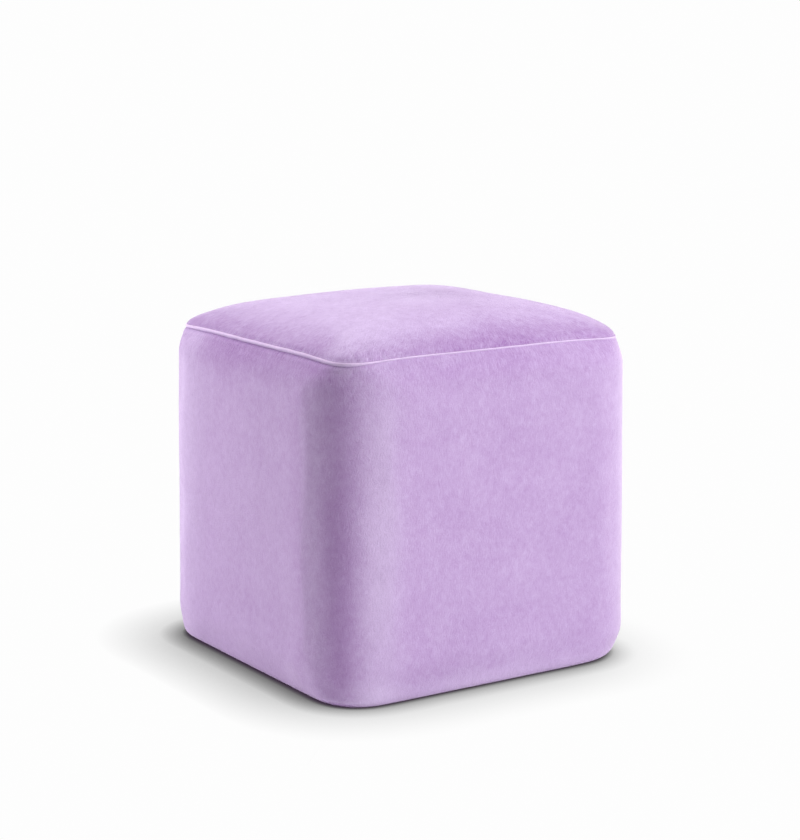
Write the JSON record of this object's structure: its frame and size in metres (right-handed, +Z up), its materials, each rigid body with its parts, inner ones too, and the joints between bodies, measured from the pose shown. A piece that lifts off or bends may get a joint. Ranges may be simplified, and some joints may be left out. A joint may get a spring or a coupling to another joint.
{
  "type": "cube pouf stool",
  "caption": "Velvet cube pouf with rounded corners, a crowned top and a piped seam, used as a low seat or footstool.",
  "frame": {"origin": "on the floor, under the middle of the base", "axes": "+Z up through the crowned top; -Y is the side that shows widest in the picture, -X the side to its left"},
  "size_m": [0.3992, 0.3992, 0.3968],
  "materials": {
    "side_velvet": "short-pile lilac velvet, brushed down the sides",
    "top_velvet": "short-pile lilac velvet, stretched over the crown",
    "piping_velvet": "bias-cut lilac velvet rolled around a cord",
    "base_cloth": "plain dark woven cloth, matt"
  },
  "bodies": {
    "root": {"side_band": "side_velvet", "top_panel": "top_velvet", "top_piping": "piping_velvet", "base_panel": "base_cloth"}
  },
  "joints": []
}
